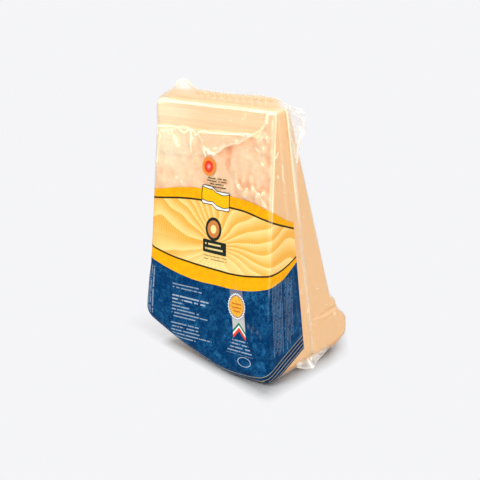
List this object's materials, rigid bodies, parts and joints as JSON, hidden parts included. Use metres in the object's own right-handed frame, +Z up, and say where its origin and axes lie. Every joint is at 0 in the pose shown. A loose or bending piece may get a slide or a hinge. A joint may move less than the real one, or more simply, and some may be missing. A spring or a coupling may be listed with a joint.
{
  "type": "parmesan chunk",
  "caption": "Hard cheese wedge in a skin-tight vacuum pouch, standing upright on its rind with the cut tip on top.",
  "frame": {"origin": "middle of the box's base, on the surface the pack stands on", "axes": "+Z up towards the cut tip, +X right along the printed front, +Y away from the printed front"},
  "size_m": [0.1276, 0.1048, 0.202],
  "materials": {
    "cheese_in_film": "satin"
  },
  "bodies": {
    "root": {"packed_wedge": "cheese_in_film"}
  },
  "joints": []
}
